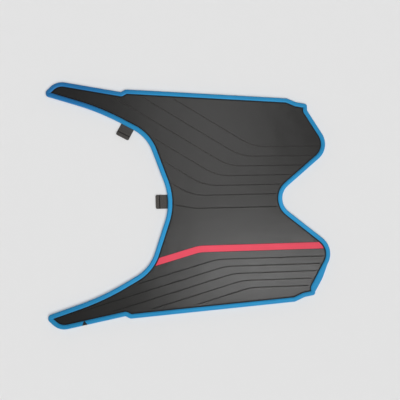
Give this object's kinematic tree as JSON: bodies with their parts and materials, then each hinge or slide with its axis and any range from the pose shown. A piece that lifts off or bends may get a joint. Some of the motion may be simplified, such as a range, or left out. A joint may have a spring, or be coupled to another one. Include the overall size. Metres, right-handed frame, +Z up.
{
  "type": "scooter floor mat",
  "caption": "Flat step-through scooter floor mat with two long arms, a wide cut between them, a notched far end, fanned grooves, a coloured edge binding, an inlaid stripe and strap tabs.",
  "frame": {"origin": "on the floor under the middle of the mat's box", "axes": "+X along the mat from the arm ends to the notched end, +Y across it towards the arm that carries the side tab, +Z up from the floor through the grooved top"},
  "size_m": [0.4946, 0.4268, 0.007],
  "materials": {
    "black_pvc": "soft black PVC with a fine moulded grain and a dull sheen",
    "blue_pvc": "soft blue PVC tape, satin",
    "red_pvc": "flat red PVC, satin",
    "black_webbing": "close-woven black polyester tape"
  },
  "bodies": {
    "root": {"mat_sheet": "black_pvc", "edge_binding": "blue_pvc", "red_stripe": "red_pvc", "arm_tab": "black_webbing", "centre_tab": "black_webbing"}
  },
  "joints": []
}
